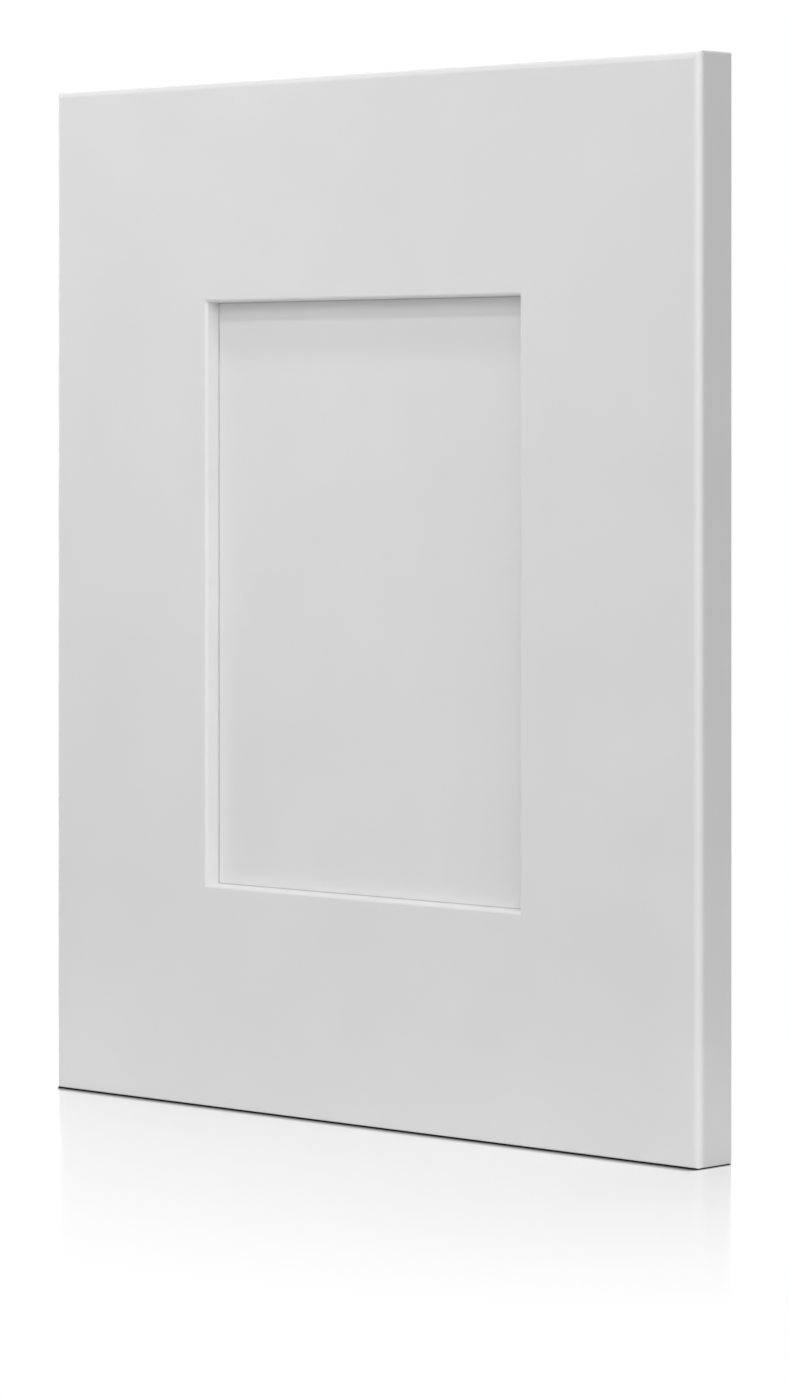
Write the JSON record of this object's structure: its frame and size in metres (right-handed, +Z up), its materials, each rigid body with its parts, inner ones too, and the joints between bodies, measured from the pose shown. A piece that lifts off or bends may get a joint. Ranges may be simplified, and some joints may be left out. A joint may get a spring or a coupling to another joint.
{
  "type": "kitchen cabinet door",
  "caption": "Painted frame-and-panel cabinet door with a sunken flat centre panel, eased edges and hinge-cup borings in the back of one stile.",
  "frame": {"origin": "middle of the door's bottom edge, halfway through its thickness, on the surface that it stands on", "axes": "+Z up along the stiles, +X to the right as seen from the front, +Y from the front face to the back face"},
  "size_m": [0.347, 0.019, 0.412],
  "materials": {
    "frame_paint": "light grey-white satin lacquer over fine, close wood or fibreboard",
    "panel_paint": "light grey-white satin lacquer over fibreboard",
    "spacer_rubber": "soft black rubber"
  },
  "bodies": {
    "root": {"left_stile": "frame_paint", "right_stile": "frame_paint", "top_rail": "frame_paint", "bottom_rail": "frame_paint", "centre_panel": "panel_paint", "spacer_left_upper": "spacer_rubber", "spacer_left_lower": "spacer_rubber", "spacer_right_upper": "spacer_rubber", "spacer_right_lower": "spacer_rubber", "spacer_top_left": "spacer_rubber", "spacer_top_right": "spacer_rubber", "spacer_bottom_left": "spacer_rubber", "spacer_bottom_right": "spacer_rubber"}
  },
  "joints": []
}
